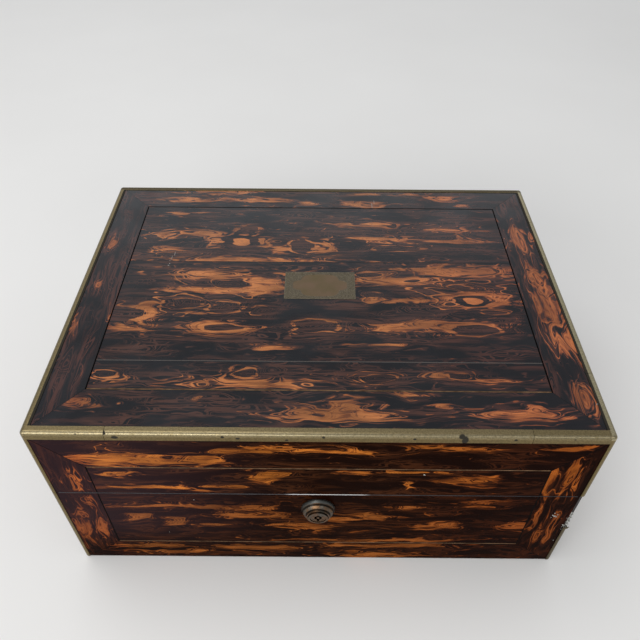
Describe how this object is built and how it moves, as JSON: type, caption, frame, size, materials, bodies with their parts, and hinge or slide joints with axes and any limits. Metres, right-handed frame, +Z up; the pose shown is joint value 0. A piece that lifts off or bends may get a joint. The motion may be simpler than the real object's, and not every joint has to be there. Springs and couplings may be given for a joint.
{
  "type": "writing box",
  "caption": "Brass-edged veneered writing box that opens flat into a writing slope, with a lock, leather flaps, pen tray, inkwells and a side drawer.",
  "frame": {"origin": "centre of the rectangle that the brass edging covers, in the plane of the baize that the box rests on", "axes": "+X right along the hinge line, towards the drawer's front; -Y out at the front, where the lock is; +Z up"},
  "size_m": [0.355, 0.2757, 0.16],
  "materials": {
    "figured_veneer": "french polished, figured dark hardwood veneer",
    "line_inlay": "polished veneer line",
    "plain_veneer": "polished, plain grain",
    "carcass": "oiled solid board",
    "brass": "old lacquered brass, dulled",
    "lock_metal": "tarnished, turned",
    "steel": "plain bright steel",
    "leather": "tooled skiver",
    "baize": "felted wool cloth",
    "glass": "clear moulded glass"
  },
  "bodies": {
    "base": {"base_baize": "baize", "base_bottom_board": "carcass", "base_front_board": "carcass", "base_back_board": "carcass", "base_left_board": "carcass", "base_right_board": "carcass", "base_front_border": "figured_veneer", "base_front_panel": "figured_veneer", "base_left_veneer": "figured_veneer", "base_right_veneer": "figured_veneer", "base_back_veneer": "plain_veneer", "base_stringing": "line_inlay", "base_corner_strips": "brass", "broken_corner_strip": "brass", "bay_divider": "carcass", "drawer_roof": "carcass", "bay_partitions": "carcass", "pen_tray": "carcass", "ink_bottles": "glass", "ink_caps": "brass", "upper_flap_cleats": "carcass", "base_hinge_leaves": "brass", "base_hinge_pins": "steel", "base_screws": "brass", "lock_case": "brass", "lock_nozzle": "lock_metal"},
    "lock_barrel": {"lock_barrel": "lock_metal"},
    "lock_bolt": {"lock_bolt": "steel"},
    "upper_flap": {"upper_flap_board": "carcass", "upper_flap_leather": "leather", "upper_flap_hinges": "brass"},
    "drawer": {"drawer_front": "carcass", "drawer_veneer": "figured_veneer", "drawer_walls": "carcass", "drawer_bottom": "carcass", "pull_plate": "brass"},
    "pull_bail": {"pull_bail": "brass"},
    "lid": {"lid_top_board": "carcass", "lid_front_board": "carcass", "lid_back_board": "carcass", "lid_side_boards": "carcass", "lid_top_border": "figured_veneer", "lid_top_panel": "figured_veneer", "lid_front_border": "figured_veneer", "lid_front_panel": "figured_veneer", "lid_side_veneers": "figured_veneer", "lid_back_veneer": "plain_veneer", "lid_stringing": "line_inlay", "rim_corners": "brass", "rim_strips": "brass", "lid_corner_strips": "brass", "name_plate": "brass", "lid_hinge_leaves": "brass", "lid_flap_pins": "steel", "lid_screws": "brass", "lock_hook_plate": "brass", "lower_flap_cleats": "carcass"},
    "lower_flap": {"lower_flap_board": "carcass", "lower_flap_leather": "leather", "lower_flap_hinges": "brass"}
  },
  "joints": [
    {"name": "lid_hinge", "type": "hinge", "parent": "base", "child": "lid", "pos_m": [0, 0.133, 0.08], "axis": [-1, 0, 0], "range_deg": [0, 180]},
    {"name": "upper_flap_hinge", "type": "hinge", "parent": "base", "child": "upper_flap", "pos_m": [0, 0.12118, 0.07818], "axis": [-1, 0, 0], "range_deg": [0, 45]},
    {"name": "lower_flap_hinge", "type": "hinge", "parent": "lid", "child": "lower_flap", "pos_m": [0, 0.12142, 0.08297], "axis": [1, 0, 0], "range_deg": [0, 45]},
    {"name": "drawer_slide", "type": "slide", "parent": "base", "child": "drawer", "axis": [1, 0, 0], "range_m": [0, 0.2]},
    {"name": "pull_bail_hinge", "type": "hinge", "parent": "drawer", "child": "pull_bail", "pos_m": [0.1754, -0.0921, 0.0312], "axis": [0, -1, 0], "range_deg": [0, 90]},
    {"name": "lock_turn", "type": "hinge", "parent": "base", "child": "lock_barrel", "pos_m": [0, -0.1325, 0.0755], "axis": [0, 1, 0], "range_deg": [0, 90]},
    {"name": "lock_bolt_slide", "type": "slide", "parent": "base", "child": "lock_bolt", "axis": [1, 0, 0], "range_m": [0, 0.00495]}
  ],
  "couplings": [
    {"joint": "upper_flap_hinge", "follows": "lid_hinge", "ratio": 0.25},
    {"joint": "lower_flap_hinge", "follows": "lid_hinge", "ratio": 0.25},
    {"joint": "lock_bolt_slide", "follows": "lock_turn", "m_per_rad": 0.0031505}
  ]
}
